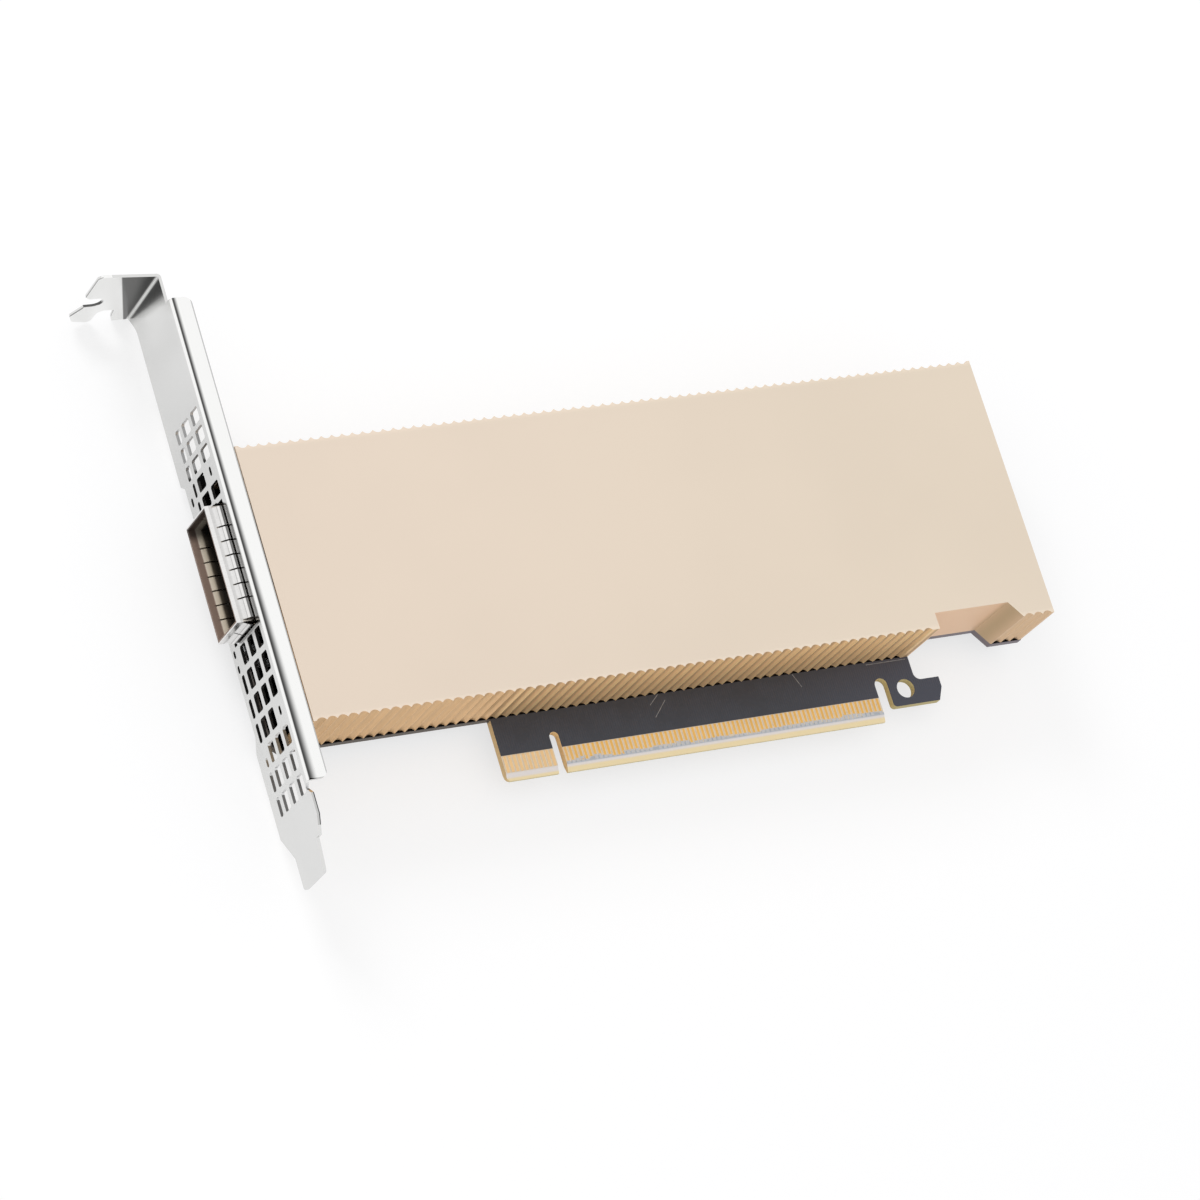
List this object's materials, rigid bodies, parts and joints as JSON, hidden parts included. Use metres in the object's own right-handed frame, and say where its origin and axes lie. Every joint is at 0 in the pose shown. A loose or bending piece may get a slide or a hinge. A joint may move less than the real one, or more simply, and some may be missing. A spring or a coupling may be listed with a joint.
{
  "type": "ethernet adapter card",
  "caption": "Full-height network adapter card: gold-edged board, fluted heatsink cover over the whole component side, vented mounting bracket with folded tab and one transceiver port",
  "frame": {"origin": "centre of the key notch on the board's gold edge, halfway through the board's thickness", "axes": "X from the bracket to the board's far end, Y from the gold edge to the board's top edge, Z out of the component side"},
  "size_m": [0.1808, 0.1206, 0.0205],
  "materials": {
    "board": "satin solder mask over glass-epoxy laminate",
    "contact_gold": "polished gold plating",
    "cover": "bead-blasted champagne anodising",
    "fins": "bare extruded",
    "package_substrate": "matt resin",
    "package_lid": "nickel-plated",
    "inductor": "pressed powder",
    "thermal_pad": "soft and dull",
    "package": "moulded",
    "capacitor_moulding": "moulded",
    "ceramic": "fired ceramic",
    "oscillator_can": "plated",
    "cage": "nickel-plated sheet",
    "collar": "bright plated spring sheet",
    "connector_moulding": "moulded",
    "spreader": "bare machined",
    "clip": "spring sheet",
    "light_guide": "clear moulded",
    "lamp": "clear resin",
    "bracket": "bright plated sheet",
    "screw": "plated",
    "film": "thin film",
    "back_plate": "stamped"
  },
  "bodies": {
    "root": {"circuit_board": "board", "edge_contacts_front": "contact_gold", "edge_contacts_back": "contact_gold", "heatsink_cover": "cover", "fin_block": "fins", "processor_substrate": "package_substrate", "processor_lid": "package_lid", "power_inductors": "inductor", "thermal_pads": "thermal_pad", "power_stages": "package", "bulk_capacitors": "capacitor_moulding", "ceramic_capacitors": "ceramic", "clock_oscillator": "oscillator_can", "flash_chips": "package", "management_controller": "package", "port_cage": "cage", "cage_spring_collar": "collar", "module_connector": "connector_moulding", "module_contacts": "contact_gold", "cage_heat_spreader": "spreader", "spreader_clip": "clip", "light_guides": "light_guide", "indicator_lamps": "lamp", "mounting_bracket": "bracket", "bracket_screws": "screw", "cover_screws": "screw", "insulating_film": "film", "processor_back_plate": "back_plate", "back_plate_screws": "screw", "back_capacitors": "ceramic"}
  },
  "joints": []
}
